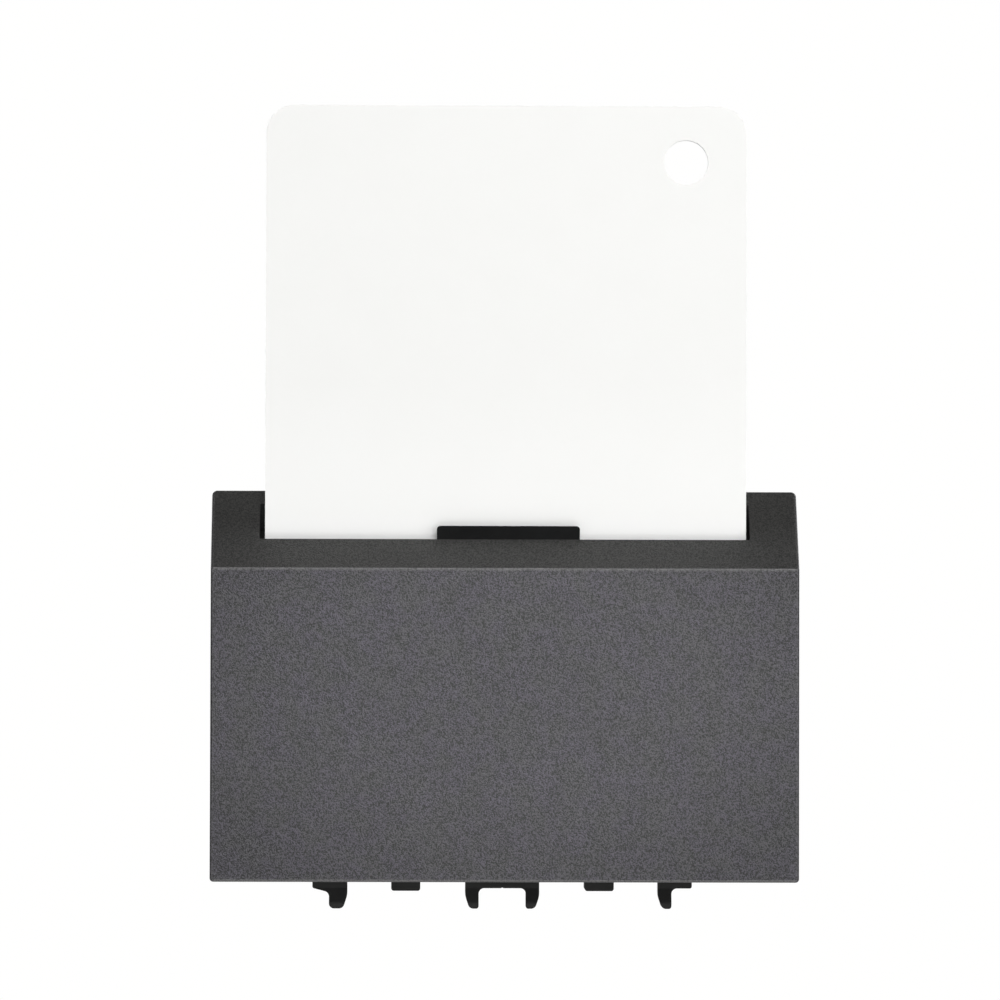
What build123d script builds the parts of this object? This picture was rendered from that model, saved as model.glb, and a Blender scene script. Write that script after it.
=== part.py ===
from build123d import *
from math import hypot
import os

# Hotel key card switch, in millimetres.
# X runs to the right, Y runs back into the wall, Z runs up.
# The origin is the centre of the device in the plane of the wall, where the cover's rear rim lies.

# Key card, ID-1 format
card_width = 53.98
card_height = 85.6
card_thickness = 0.76
card_corner = 3.18
card_hole_radius = 2.5
card_hole_from_side = 6.8
card_hole_from_top = 6.3

# Front cover
cover_margin = 5.79
cover_height = 43.5
cover_depth = 12.4
slope_rise = 8.6
slope_depth = 8.0
front_wall = 2.0
side_wall = 1.8
top_wall = 1.8
bottom_wall = 1.25
cover_draft = 1.25
cover_edge = 0.3
cover_corner = 0.4

# Card slot and pocket
slot_lip = 3.05
slot_opening = 3.7
slot_side_gap = 0.5
card_offset = 0.1
card_setback = 4.5
card_floor_gap = 0.1
card_back_gap = 0.35
pocket_wall = 1.6
rail_wall = 1.6
guide_rib = 1.0
guide_rib_gap = 0.3
guide_rib_top_gap = 0.6
guide_rib_shares = (-0.86, -0.5, 0.5, 0.86)
hook_reach = 0.5
hook_length = 6.0
hook_ramp = 1.6
hook_height_shares = (-0.6, 0.35)
flange_rib = 1.0
flange_rib_reach = 3.6
flange_rib_shares = (-0.75, -0.45, -0.15, 0.15, 0.45)

# Card clip, the black tongue at the front lip
clip_width = 16.0
clip_offset = 0.38
clip_wall = 1.0
clip_proud = 1.5
clip_length = 21.0
clip_corner = 0.4
clip_pad_height = 9.0
clip_pin_radius = 0.8
clip_pin_share = 0.55

# Clearances
fit_gap = 0.15
seat_gap = 0.05
run_gap = 0.05
swing_gap = 0.3
overrun = 2.0

# Lever with its pin and spring
lever_lift = 0.5
lever_hinge_share = 0.375
lever_hinge_setback = 3.0
lever_barrel_radius = 2.2
lever_barrel_width = 6.8
lever_arm_width = 6.0
lever_arm_front = 1.0
lever_arm_back = 1.2
lever_wing_width = 2.9
lever_wing_top = 3.0
lever_wing_bottom = 7.5
nose_height = 3.0
nose_flat = 1.2
nose_recess = 0.3
window_head = 1.0
lever_pin_radius = 1.0
lever_pin_proud = 0.3
ear_wall = 2.0
ear_radius = 2.4
ear_gap = 0.25
spring_width = 2.2
spring_wall = 0.3
spring_drop = 7.2
spring_foot = 2.7
spring_foot_height = 4.0
spring_pin_radius = 0.6

# Snap-action switch
switch_end = 0.55
switch_depth = 10.2
switch_height = 6.4
switch_wall = 1.0
switch_setback = 1.2
switch_share = 0.235
plunger_radius = 1.2
plunger_collar_radius = 1.5
plunger_collar = 1.0
plunger_travel = 0.62
corner_block_length = 4.2
corner_block_depth = 4.4
switch_screw_radius = 1.0
switch_screw_head_radius = 1.9
switch_screw_head = 1.3
switch_screw_inset = 2.0
blade_wall = 0.3
blade_width = 3.2
blade_end = 1.2
blade_heel = 0.3
contact_strip = 0.4
contact_post = 0.8
contact_radius = 1.0
contact_button = 0.85
contact_gap = 0.5
contact_inset = 3.0
snap_wall = 0.2
snap_width = 2.0
snap_length = 7.0
snap_bow = 1.2
tab_width = 2.4
tab_wall = 0.5
tab_length = 4.0

# Locator lamp
lens_width = 8.0
lens_height = 3.0
lens_flange = 0.8
lens_below_slot = 5.0
board_width_share = 0.63
board_height_share = 0.27
board_wall = 1.2
board_standoff = 2.6
board_pin_radius = 0.7
board_post_radius = 1.6
board_post_share = 0.57
board_top_gap = 0.7
led_width = 3.4
led_height = 2.8
led_base = 0.7
led_dome_radius = 1.0
resistor_radius = 1.1
resistor_length = 6.3
diode_radius = 1.3
diode_length = 4.6
lead_radius = 0.3
lead_reach = 1.6
lead_bend = 0.6
lead_spread_share = 0.2

# Mounting frame
frame_width = 44.5
frame_depth = 16.0
frame_wall = 1.6
frame_corner = 1.0
neck_step = 2.1
neck_depth = 1.6
shoulder_gap = 0.1
lug_size = 4.8
lug_wall = 2.0
boss_radius = 2.0
boss_length = 4.6
frame_screw_radius = 1.1
frame_screw_length = 6.0
frame_screw_head_radius = 1.9
frame_screw_head = 1.6
shelf_wall = 1.6
shelf_gap = 0.1
shelf_rib = 1.2
latch_wall = 1.5
latch_depth = 4.0
latch_nose = 1.0

# Clip rows on the mounting frame, one set for each of the two modules
clip_setback = 1.0
clip_row_offset = 0.15
finger_wall = 1.6
module_share = 0.503
finger_height = 4.33
finger_inner_share = 0.616
finger_width = 1.56
finger_taper = 1.5
finger_taper_width = 0.5
finger_taper_radius = 2.5
finger_tip_radius = 0.3
finger_taper_tip_radius = 0.65
finger_root = 0.65
finger_nose = 0.6
finger_nose_ramp = 1.6
end_finger_inner = 0.1
end_finger_outer = 0.45
end_tip_radius = 0.6
end_web_drop = 0.5
web_height = 1.95
web_inset = 0.22
web_corner = 0.25
stop_width = 3.36
stop_height = 2.15
stop_depth = 4.0
stop_corner = 0.3
flex_slot = 0.8
flex_slot_length = 9.0

# Rear housing
housing_step = 0.45
housing_wall = 1.6
housing_back = 1.8
housing_corner = 1.6
skirt_depth = 4.0
skirt_wall = 1.4
barb_width = 4.0
barb_reach = 0.5
barb_length = 1.8
barb_height_share = 0.5
divider_wall = 1.0
divider_below = 4.3

# Terminals
terminal_row_share = 0.71
terminal_drop = 7.5
cage_side_gap = 0.35
cage_back_gap = 1.0
cage_height = 7.5
cage_wall = 1.0
wire_space = 3.2
wire_hole_radius = 1.8
screw_space = 2.2
busbar_wall = 0.8
busbar_width = 3.6
terminal_screw_radius = 1.6
terminal_head_radius = 2.7
terminal_head = 1.8
driver_hole_radius = 2.9
driver_slot = 0.8
driver_slot_depth = 0.9
lamp_arm_rise = 3.5
lamp_arm_drop = 3.6

# Sizes that follow from others
cover_width = card_width + 2 * cover_margin
face_height = cover_height - slope_rise
frame_height = cover_height
neck_height = frame_height - 2 * neck_step
housing_width = frame_width - 2 * housing_step
housing_height = frame_height - 2 * housing_step
board_width = board_width_share * frame_width
board_height = board_height_share * cover_height
terminal_pitch = terminal_row_share * frame_width / 4
terminal_height = housing_height / 2 - terminal_drop
cage_width = terminal_pitch - divider_wall - 2 * cage_side_gap
module_pitch = module_share * frame_width
finger_inner = finger_inner_share * module_pitch / 2

# Places along Y, from the front face to the back
y_front = -cover_depth
y_inner = y_front + front_wall
y_lip = y_front + slot_lip
y_rear_lip = y_lip + slot_opening
y_card = y_front + card_setback
y_card_back = y_card + card_thickness
y_pocket = y_card_back + card_back_gap
y_pocket_back = y_pocket + pocket_wall
y_hinge = y_pocket_back + lever_hinge_setback
y_lever_back = y_hinge + lever_arm_back
y_switch = y_lever_back + switch_setback
y_switch_back = y_switch + switch_depth
y_board = y_pocket_back + board_standoff
y_board_back = y_board + board_wall
y_lug = y_pocket_back + boss_length
y_shelf_back = frame_depth - skirt_depth - shelf_gap
y_clip = frame_depth - clip_setback - finger_wall
y_cage = frame_depth + divider_wall
y_busbar = y_cage + cage_wall + wire_space
y_busbar_back = y_busbar + busbar_wall
y_cage_back = y_busbar_back + screw_space + cage_wall
y_housing_back = y_cage_back + cage_back_gap + housing_back

# Heights
z_bottom = -cover_height / 2
z_top = cover_height / 2
z_fold = z_bottom + face_height
z_floor = z_bottom + bottom_wall
z_card = z_floor + card_floor_gap
z_nose = z_card + lever_lift
z_hinge = z_bottom + lever_hinge_share * cover_height
z_switch = z_bottom + switch_share * cover_height
z_shelf = z_switch - switch_height / 2 - seat_gap
slope_grade = slope_rise / slope_depth
slope_drop = front_wall * hypot(slope_rise, slope_depth) / slope_depth

# Places along X
slot_half = card_width / 2 + slot_side_gap
cavity_half = cover_width / 2 - side_wall
lever_half = lever_barrel_width / 2
ear_inner = lever_half + ear_gap * 2 + spring_width
terminal_places = [terminal_pitch * (i - 1.5) for i in range(4)]
switch_left = terminal_places[0] - tab_width / 2 - switch_wall - seat_gap
switch_right = terminal_places[2] + tab_width / 2 + switch_end


def slope_z(y):
    """Height of the sloping top's outer surface at a depth."""
    return z_fold + (y - y_front) * slope_grade


def under_slope_z(y):
    """Height that an inner piece reaches under the sloping wall at a depth."""
    return slope_z(y) - slope_drop - fit_gap


def span(x0, x1, y0, y1, z0, z1):
    """A block between two corners."""
    centre = Pos((x0 + x1) / 2, (y0 + y1) / 2, (z0 + z1) / 2)
    return centre * Box(x1 - x0, y1 - y0, z1 - z0)


def prism_x(points, x0, x1):
    """An outline of (y, z) points, drawn out along X."""
    outline = make_face(Polyline(*points, close=True))
    return extrude(Plane.YZ.offset(x0) * outline, amount=x1 - x0)


def prism_y(points, y0, y1, corners=()):
    """An outline of (x, z) points, some of its corners rounded, drawn out along Y."""
    outline = make_face(Polyline(*points, close=True))
    for index, radius in corners:
        outline = fillet(outline.vertices().sort_by_distance(points[index])[0], radius=radius)
    return extrude(Plane.XZ.offset(-y1) * outline, amount=y1 - y0)


def prism_z(points, z0, z1):
    """An outline of (x, y) points, drawn out along Z."""
    outline = make_face(Polyline(*points, close=True))
    return extrude(Plane.XY.offset(z0) * outline, amount=z1 - z0)


def rod_x(y, z, radius, x0, x1):
    return extrude(Plane.YZ.offset(x0) * Pos(y, z) * Circle(radius), amount=x1 - x0)


def rod_y(x, z, radius, y0, y1):
    return extrude(Plane.XZ.offset(-y1) * Pos(x, z) * Circle(radius), amount=y1 - y0)


def rod_z(x, y, radius, z0, z1):
    return extrude(Plane.XY.offset(z0) * Pos(x, y) * Circle(radius), amount=z1 - z0)


def rounded_y(width, height, corner, y0, y1):
    """A rounded rectangle about the Y axis, drawn out along Y."""
    return extrude(Plane.XZ.offset(-y1) * RectangleRounded(width, height, corner), amount=y1 - y0)


def both_sides(shape):
    """The shape and its mirror image across the middle plane."""
    return shape + mirror(shape, about=Plane.YZ)


# Front cover
def on_face(edge):
    """Whether an edge borders the flat front face."""
    return all((edge @ t).Y - y_front < seat_gap for t in (0, 0.5, 1))


def on_slope(edge):
    """Whether an edge borders the sloping top."""
    return all(abs((edge @ t).Z - slope_z((edge @ t).Y)) < seat_gap for t in (0, 0.5, 1))


def cover_shell():
    """The outer form, with its visible edges rounded."""
    front = Plane.XZ.offset(-y_front) * RectangleRounded(cover_width, cover_height, cover_corner)
    body = extrude(front, amount=-cover_depth, taper=-cover_draft)
    y_past = y_front - overrun
    z_past = z_top + overrun
    y_top = y_front + (z_past - z_fold) / slope_grade
    wedge = prism_x(
        [(y_past, slope_z(y_past)), (y_past, z_past), (y_top, z_past)],
        -cover_width,
        cover_width,
    )
    body -= wedge
    return fillet([e for e in body.edges() if on_face(e) or on_slope(e)], radius=cover_edge)


def cover_cavity():
    z_under_fold = slope_z(y_inner) - slope_drop
    z_ceiling = z_top - top_wall
    y_ceiling = y_front + (z_ceiling + slope_drop - z_fold) / slope_grade
    return prism_x(
        [
            (y_inner, z_floor),
            (y_inner, z_under_fold),
            (y_ceiling, z_ceiling),
            (overrun, z_ceiling),
            (overrun, z_floor),
        ],
        -cavity_half,
        cavity_half,
    )


def cover_guides():
    """Upright ribs behind the front face that the card slides along."""
    y_rib = y_card - guide_rib_gap
    z_rib = slope_z(y_lip) - slope_drop - guide_rib_top_gap
    chamfer_size = y_rib - y_lip
    ribs = Part()
    for share in guide_rib_shares:
        x = share * card_width / 2
        ribs += prism_x(
            [
                (y_inner - seat_gap, z_floor - seat_gap),
                (y_inner - seat_gap, z_rib),
                (y_rib - chamfer_size, z_rib),
                (y_rib, z_rib - chamfer_size),
                (y_rib, z_floor - seat_gap),
            ],
            x - guide_rib / 2,
            x + guide_rib / 2,
        )
    return ribs


def clip_pin_places():
    offset = clip_pin_share * clip_width / 2
    return [clip_offset - offset, clip_offset + offset]


def clip_pad():
    """The pad and its two pins that carry the card clip."""
    z_low = slope_z(y_lip) + clip_proud - clip_length
    x_low = clip_offset - clip_width / 2
    pad = span(x_low, x_low + clip_width, y_inner - seat_gap, y_lip, z_low, z_low + clip_pad_height)
    for x in clip_pin_places():
        pad += rod_y(x, z_low + clip_pad_height / 2, clip_pin_radius, y_inner, y_lip + clip_wall)
    return pad


def cover_hooks():
    """Hooks on the side walls that hold the card pocket in the cover."""
    y_hook = y_pocket_back + seat_gap
    hooks = Part()
    for share in hook_height_shares:
        z = share * cover_height / 2
        hooks += prism_z(
            [
                (cavity_half + seat_gap, y_hook),
                (cavity_half - hook_reach, y_hook),
                (cavity_half - hook_reach, y_hook + hook_reach),
                (cavity_half, y_hook + hook_ramp),
                (cavity_half + seat_gap, y_hook + hook_ramp),
            ],
            z - hook_length / 2,
            z + hook_length / 2,
        )
    return both_sides(hooks)


def front_cover():
    body = cover_shell() - cover_cavity()
    body -= span(-slot_half, slot_half, y_lip, y_rear_lip, z_fold - slope_drop, z_top + overrun)
    return body + cover_guides() + clip_pad() + cover_hooks()


def card_clip():
    z_high = slope_z(y_lip) + clip_proud
    z_low = z_high - clip_length
    outline = RectangleRounded(clip_width, clip_length, clip_corner)
    outline = Pos(clip_offset, (z_high + z_low) / 2) * outline
    body = extrude(Plane.XZ.offset(-y_lip - clip_wall) * outline, amount=clip_wall)
    for x in clip_pin_places():
        z = z_low + clip_pad_height / 2
        body -= rod_y(x, z, clip_pin_radius + run_gap, y_lip - overrun, y_lip + clip_wall + overrun)
    return body


def key_card():
    outline = RectangleRounded(card_width, card_height, card_corner)
    outline = Pos(card_offset, z_card + card_height / 2) * outline
    body = extrude(Plane.XZ.offset(-y_card_back) * outline, amount=card_thickness)
    hole_x = card_offset + card_width / 2 - card_hole_from_side
    hole_z = z_card + card_height - card_hole_from_top
    return body - rod_y(hole_x, hole_z, card_hole_radius, y_card - overrun, y_card_back + overrun)


# Card pocket
def lens_place():
    return slope_z(y_lip) - lens_below_slot


def board_post_places():
    offset = board_post_share * board_width / 2
    return [-offset, offset]


def lug_places():
    x = frame_width / 2 - frame_wall - lug_size / 2
    z = neck_height / 2 - frame_wall - lug_size / 2
    return [(x, z), (-x, z), (-x, -z), (x, -z)]


def board_middle():
    return neck_height / 2 - frame_wall - board_top_gap - board_height / 2


def pocket_plate():
    half = cavity_half - fit_gap
    z_low = z_floor + fit_gap
    y_rail = y_inner + seat_gap
    plate = prism_x(
        [
            (y_pocket, z_low),
            (y_pocket, under_slope_z(y_pocket)),
            (y_pocket_back, under_slope_z(y_pocket_back)),
            (y_pocket_back, z_low),
        ],
        -half,
        half,
    )
    rail = prism_x(
        [
            (y_rail, z_low),
            (y_rail, under_slope_z(y_rail)),
            (y_pocket + seat_gap, under_slope_z(y_pocket + seat_gap)),
            (y_pocket + seat_gap, z_low),
        ],
        slot_half,
        slot_half + rail_wall,
    )
    return plate + both_sides(rail)


def pocket_flange_ribs():
    """Short ribs that stiffen the two flanges beside the mounting frame."""
    ribs = Part()
    x_low = frame_width / 2 + swing_gap
    x_high = cavity_half - fit_gap - hook_reach
    for share in flange_rib_shares:
        z = share * cover_height / 2
        y_low = y_pocket_back - seat_gap
        y_high = y_pocket_back + flange_rib_reach
        ribs += span(x_low, x_high, y_low, y_high, z - flange_rib / 2, z + flange_rib / 2)
    x_spine = (x_low + x_high) / 2
    z_spine = flange_rib_shares[-1] * cover_height / 2
    ribs += span(
        x_spine - flange_rib / 2,
        x_spine + flange_rib / 2,
        y_pocket_back - seat_gap,
        y_pocket_back + flange_rib_reach,
        flange_rib_shares[0] * cover_height / 2,
        z_spine,
    )
    return both_sides(ribs)


def pocket_ears():
    """The two ears that carry the lever pin, and the post of the lever spring."""
    y_low = y_pocket_back - seat_gap
    x_outer = ear_inner + ear_wall
    ear = span(ear_inner, x_outer, y_low, y_hinge, z_hinge - ear_radius, z_hinge + ear_radius)
    ear += rod_x(y_hinge, z_hinge, ear_radius, ear_inner, x_outer)
    hole_radius = lever_pin_radius + run_gap / 4
    ear -= rod_x(y_hinge, z_hinge, hole_radius, ear_inner - overrun, x_outer + overrun)
    post = span(
        lever_half + ear_gap,
        lever_half + ear_gap + spring_width,
        y_low,
        y_lever_back + run_gap,
        z_hinge + spring_foot,
        z_hinge + spring_foot + spring_foot_height,
    )
    pin_y = y_lever_back + run_gap
    pin_x = lever_half + ear_gap + spring_width / 2
    pin_z = z_hinge + spring_foot + spring_foot_height / 2
    post += rod_y(pin_x, pin_z, spring_pin_radius, pin_y - spring_wall, pin_y + spring_wall * 2)
    return both_sides(ear) + post


def card_pocket():
    body = pocket_plate() + pocket_flange_ribs() + pocket_ears()
    for x, z in lug_places():
        body += rod_y(x, z, boss_radius, y_pocket_back - seat_gap, y_lug)
        body -= rod_y(x, z, frame_screw_radius, y_lug - frame_screw_length + lug_wall, y_lug + overrun)
    z_board = board_middle()
    for x in board_post_places():
        y_pin_tip = y_board_back + board_pin_radius
        body += rod_y(x, z_board, board_post_radius, y_pocket_back - seat_gap, y_board)
        body += rod_y(x, z_board, board_pin_radius, y_board - seat_gap, y_pin_tip)
    window_half = lever_arm_width / 2 + swing_gap
    z_window = z_nose + nose_height + window_head
    body -= span(
        -window_half,
        window_half,
        y_pocket - overrun,
        y_pocket_back + overrun,
        z_bottom,
        z_window,
    )
    z_lens = lens_place()
    body -= span(
        -lens_width / 2 - run_gap,
        lens_width / 2 + run_gap,
        y_pocket - overrun,
        y_pocket_back + overrun,
        z_lens - lens_height / 2 - run_gap,
        z_lens + lens_height / 2 + run_gap,
    )
    return body


# Locator lamp
def locator_lens():
    z = lens_place()
    half = lens_width / 2
    body = span(
        -half,
        half,
        y_pocket,
        y_pocket_back + lens_flange,
        z - lens_height / 2,
        z + lens_height / 2,
    )
    return body + span(
        -half - lens_flange,
        half + lens_flange,
        y_pocket_back,
        y_pocket_back + lens_flange,
        z - lens_height / 2 - lens_flange,
        z + lens_height / 2 + lens_flange,
    )


def locator_led():
    z = lens_place()
    y_tip = y_pocket_back + lens_flange + seat_gap
    body = Pos(0, y_board - led_base / 2, z) * Box(led_width, led_base, led_height)
    return body + rod_y(0, z, led_dome_radius, y_tip, y_board - led_base + seat_gap)


def lamp_board():
    z = board_middle()
    body = Pos(0, y_board + board_wall / 2, z) * Box(board_width, board_wall, board_height)
    for x in board_post_places():
        body -= rod_y(x, z, board_pin_radius + run_gap, y_board - overrun, y_board_back + overrun)
    return body


def axial_part(x, z, radius, length):
    """A wired part lying on the board, with its two leads bent down to it."""
    y = y_board_back + radius + seat_gap
    half = length / 2
    reach = half + lead_reach
    path = FilletPolyline(
        (x - reach, y_board_back, z),
        (x - reach, y, z),
        (x + reach, y, z),
        (x + reach, y_board_back, z),
        radius=lead_bend,
    )
    lead = sweep(Plane(path @ 0, z_dir=path % 0) * Circle(lead_radius), path=path)
    return rod_x(y, z, radius, x - half, x + half) + lead


def lamp_resistor():
    z = board_middle() + lead_spread_share * board_height
    return axial_part(0, z, resistor_radius, resistor_length)


def lamp_diode():
    z = board_middle() - lead_spread_share * board_height
    return axial_part(0, z, diode_radius, diode_length)


# Lever
def switch_lever():
    y_arm = y_hinge - lever_arm_front
    y_tip = y_card_back + nose_recess
    half = lever_arm_width / 2
    body = rod_x(y_hinge, z_hinge, lever_barrel_radius, -lever_half, lever_half)
    body += span(-half, half, y_arm, y_lever_back, z_nose, z_hinge)
    body += prism_x(
        [
            (y_lever_back, z_nose),
            (y_tip + cover_edge, z_nose),
            (y_tip, z_nose + cover_edge),
            (y_tip, z_nose + nose_flat),
            (y_tip + nose_height - nose_flat, z_nose + nose_height),
            (y_lever_back, z_nose + nose_height),
        ],
        -half,
        half,
    )
    wing = span(
        0,
        half + lever_wing_width,
        y_lever_back - lever_arm_front,
        y_lever_back,
        z_hinge - lever_wing_bottom,
        z_hinge - lever_wing_top,
    )
    body += wing
    reach = lever_half + overrun
    return body - rod_x(y_hinge, z_hinge, lever_pin_radius + run_gap, -reach, reach)


def lever_pin():
    reach = ear_inner + ear_wall + lever_pin_proud
    return rod_x(y_hinge, z_hinge, lever_pin_radius, -reach, reach)


def lever_spring():
    """A flat leaf staked to the post, pressing on the back of the lever's wing."""
    x_low = lever_half + ear_gap
    y_low = y_lever_back + run_gap
    z_high = z_hinge + spring_foot + spring_foot_height
    z_low = z_hinge - spring_drop
    body = span(x_low, x_low + spring_width, y_low, y_low + spring_wall, z_low, z_high)
    curl = prism_x(
        [
            (y_low, z_low),
            (y_low + spring_wall, z_low),
            (y_low + spring_wall * 3, z_low - spring_wall * 3),
            (y_low + spring_wall * 2, z_low - spring_wall * 3),
        ],
        x_low,
        x_low + spring_width,
    )
    pin_z = z_hinge + spring_foot + spring_foot_height / 2
    pin_x = x_low + spring_width / 2
    hole = rod_y(pin_x, pin_z, spring_pin_radius + run_gap, y_low - overrun, y_low + overrun)
    return body + curl - hole


# Snap-action switch
z_case_low = z_switch - switch_height / 2
z_lid = z_switch + switch_height / 2 - switch_wall
x_contact = switch_right - contact_inset
y_cavity = y_switch + switch_wall
y_cavity_back = y_switch_back - switch_wall
y_blade = (y_cavity + y_cavity_back) / 2
x_post = switch_left + switch_wall + contact_post
x_screw = switch_left + switch_screw_inset
y_screw = y_switch + switch_screw_inset
x_side_strip = switch_right - switch_wall - contact_strip - seat_gap
y_working = y_cavity_back - contact_strip - seat_gap
y_resting = y_cavity + seat_gap


def tab_block(place, y0, grow):
    """The flat tab of one contact at a terminal place, or its slot when grown."""
    half = tab_width / 2 + grow
    return span(
        place - half,
        place + half,
        y0,
        y_switch_back + tab_length,
        z_switch - tab_wall / 2 - grow,
        z_switch + tab_wall / 2 + grow,
    )


def switch_case():
    body = span(switch_left, switch_right, y_switch, y_switch_back, z_case_low, z_lid)
    cavity = span(
        switch_left + switch_wall,
        switch_right - switch_wall,
        y_cavity,
        y_cavity_back,
        z_case_low + switch_wall,
        z_lid + overrun,
    )
    block = span(
        switch_left,
        switch_left + corner_block_length,
        y_switch,
        y_switch + corner_block_depth,
        z_case_low,
        z_lid,
    )
    body = body - cavity + block
    hole_radius = switch_screw_radius + run_gap
    body -= rod_z(x_screw, y_screw, hole_radius, z_case_low - overrun, z_lid + overrun)
    body -= rod_y(0, z_switch, plunger_radius + run_gap, y_switch - overrun, y_cavity + overrun)
    for place in terminal_places[:3]:
        body -= tab_block(place, y_cavity_back - seat_gap, run_gap)
    half = blade_width / 2 + run_gap
    body -= span(
        x_side_strip - run_gap,
        x_side_strip + contact_strip + run_gap,
        y_cavity_back - seat_gap,
        y_cavity_back + tab_wall + run_gap,
        z_switch - half,
        z_switch + half,
    )
    return body


def switch_lid():
    body = span(switch_left, switch_right, y_switch, y_switch_back, z_lid, z_lid + switch_wall)
    hole_radius = switch_screw_radius + run_gap
    return body - rod_z(x_screw, y_screw, hole_radius, z_lid - overrun, z_lid + overrun * 2)


def switch_plunger():
    y_tip = y_lever_back + run_gap
    y_end = y_blade - run_gap
    y_collar = y_cavity + plunger_travel + run_gap * 2
    body = rod_y(0, z_switch, plunger_radius, y_tip, y_end)
    body += rod_y(0, z_switch, plunger_collar_radius, y_collar, y_collar + plunger_collar)
    circles = body.edges().filter_by(GeomType.CIRCLE)
    tip_edge = [e for e in circles if abs(e.center().Y - y_tip) < run_gap]
    return fillet(tip_edge, radius=plunger_radius / 2)


def contact_blade():
    """The moving blade. Its rounded heel turns in a notch of the common contact's post."""
    half = blade_width / 2
    z_low = z_switch - half
    z_high = z_switch + half
    body = span(x_post, x_contact + blade_end, y_blade, y_blade + blade_wall, z_low, z_high)
    body += rod_z(x_post, y_blade + blade_wall / 2, blade_heel, z_low, z_high)
    y_low = y_blade - contact_button
    y_high = y_blade + blade_wall + contact_button
    return body + rod_y(x_contact, z_switch, contact_radius, y_low, y_high)


def snap_spring():
    """A bowed leaf between the common post and the blade."""
    x0 = x_post + blade_heel
    x1 = x0 + snap_length
    y0 = y_cavity_back - snap_bow
    y1 = y_blade + blade_wall + run_gap * 2
    x_mid = (x0 + x1) / 2
    y_mid = (y0 + y1) / 2 + snap_bow / 2
    wall = snap_wall
    inner = ThreePointArc((x0, y0), (x_mid, y_mid), (x1, y1))
    outer = ThreePointArc((x0, y0 + wall), (x_mid, y_mid + wall), (x1, y1 + wall))
    ends = [Line((x0, y0), (x0, y0 + wall)), Line((x1, y1), (x1, y1 + wall))]
    outline = make_face([inner, outer] + ends)
    return extrude(Plane.XY.offset(z_switch - snap_width / 2) * outline, amount=snap_width)


def common_contact():
    half = blade_width / 2
    post = span(
        x_post - contact_post,
        x_post,
        y_blade - blade_heel * 2,
        y_cavity_back - seat_gap * 2,
        z_switch - half,
        z_switch + half,
    )
    post -= rod_z(x_post, y_blade + blade_wall / 2, blade_heel + run_gap, z_case_low, z_lid)
    return post + tab_block(terminal_places[0], y_cavity_back - seat_gap * 4, 0)


def working_contact():
    """The fixed contact behind the blade, closed while the card is in."""
    half = blade_width / 2
    x_low = terminal_places[1] - tab_width / 2
    x_high = x_contact + contact_radius
    strip = span(x_low, x_high, y_working, y_working + contact_strip, z_switch - half, z_switch + half)
    y_face = y_blade + blade_wall + contact_button + run_gap
    button = rod_y(x_contact, z_switch, contact_radius, y_face, y_working + seat_gap)
    return strip + button + tab_block(terminal_places[1], y_working, 0)


def resting_contact():
    """The fixed contact in front of the blade, closed while the card is out."""
    half = blade_width / 2
    x_low = x_contact - contact_radius
    x_high = x_side_strip + contact_strip
    strip = span(x_low, x_high, y_resting, y_resting + contact_strip, z_switch - half, z_switch + half)
    y_side = y_cavity_back + tab_wall
    side = span(x_side_strip, x_high, y_resting, y_side, z_switch - half, z_switch + half)
    y_face = y_blade - contact_button - contact_gap - run_gap
    button = rod_y(x_contact, z_switch, contact_radius, y_resting + contact_strip - seat_gap, y_face)
    return strip + side + button + tab_block(terminal_places[2], y_cavity_back, 0)


def switch_screw():
    z_head = z_lid + switch_wall
    z_tip = z_shelf - shelf_wall
    body = rod_z(x_screw, y_screw, switch_screw_radius, z_tip, z_head)
    body += rod_z(x_screw, y_screw, switch_screw_head_radius, z_head, z_head + switch_screw_head)
    half = driver_slot / 2
    reach = switch_screw_head_radius
    z_slot = z_head + switch_screw_head - driver_slot_depth
    return body - span(
        x_screw - reach,
        x_screw + reach,
        y_screw - half,
        y_screw + half,
        z_slot,
        z_head + switch_screw_head + overrun,
    )


# Mounting frame
def clip_side_profile():
    """The side view of a clip finger: a flat web with a nose towards the front."""
    z_root = -frame_height / 2 + finger_root
    z_tip = -frame_height / 2 - finger_height
    z_nose_top = -frame_height / 2 - web_height
    y_back = y_clip + finger_wall
    return [
        (y_back, z_root),
        (y_clip, z_root),
        (y_clip, z_nose_top),
        (y_clip - finger_nose, z_nose_top - finger_nose_ramp),
        (y_clip - finger_nose, z_tip + finger_nose),
        (y_clip, z_tip),
        (y_back, z_tip),
    ]


def clip_finger(module_x, side, edge, more_inner, more_outer, tip_radius, drop):
    """One finger with its web, which reaches out to the edge.

    The extra widths make an end finger stouter, and the drop lowers its web where they meet.
    The tip radius is that of the straight outer side.
    """
    z_root = -frame_height / 2 + finger_root
    z_web = -frame_height / 2 - web_height
    z_tip = -frame_height / 2 - finger_height
    inner = finger_inner - more_inner
    outer = finger_inner + finger_width + more_outer
    points = [
        (inner, z_root),
        (inner, z_tip + finger_taper),
        (inner + finger_taper_width, z_tip),
        (outer, z_tip),
        (outer, z_web - drop),
        (edge, z_web),
        (edge, z_root),
    ]
    corners = [
        (1, finger_taper_radius),
        (2, finger_taper_tip_radius),
        (3, tip_radius),
        (4, finger_root),
        (5, web_corner),
    ]
    placed = [(module_x + side * x, z) for x, z in points]
    front_view = prism_y(placed, y_clip - finger_nose, y_clip + finger_wall, corners)
    return front_view & prism_x(clip_side_profile(), -frame_width, frame_width)


def module_middle(module):
    """The middle of the left (-1) or right (1) module along X."""
    return clip_row_offset + module * module_pitch / 2


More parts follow.
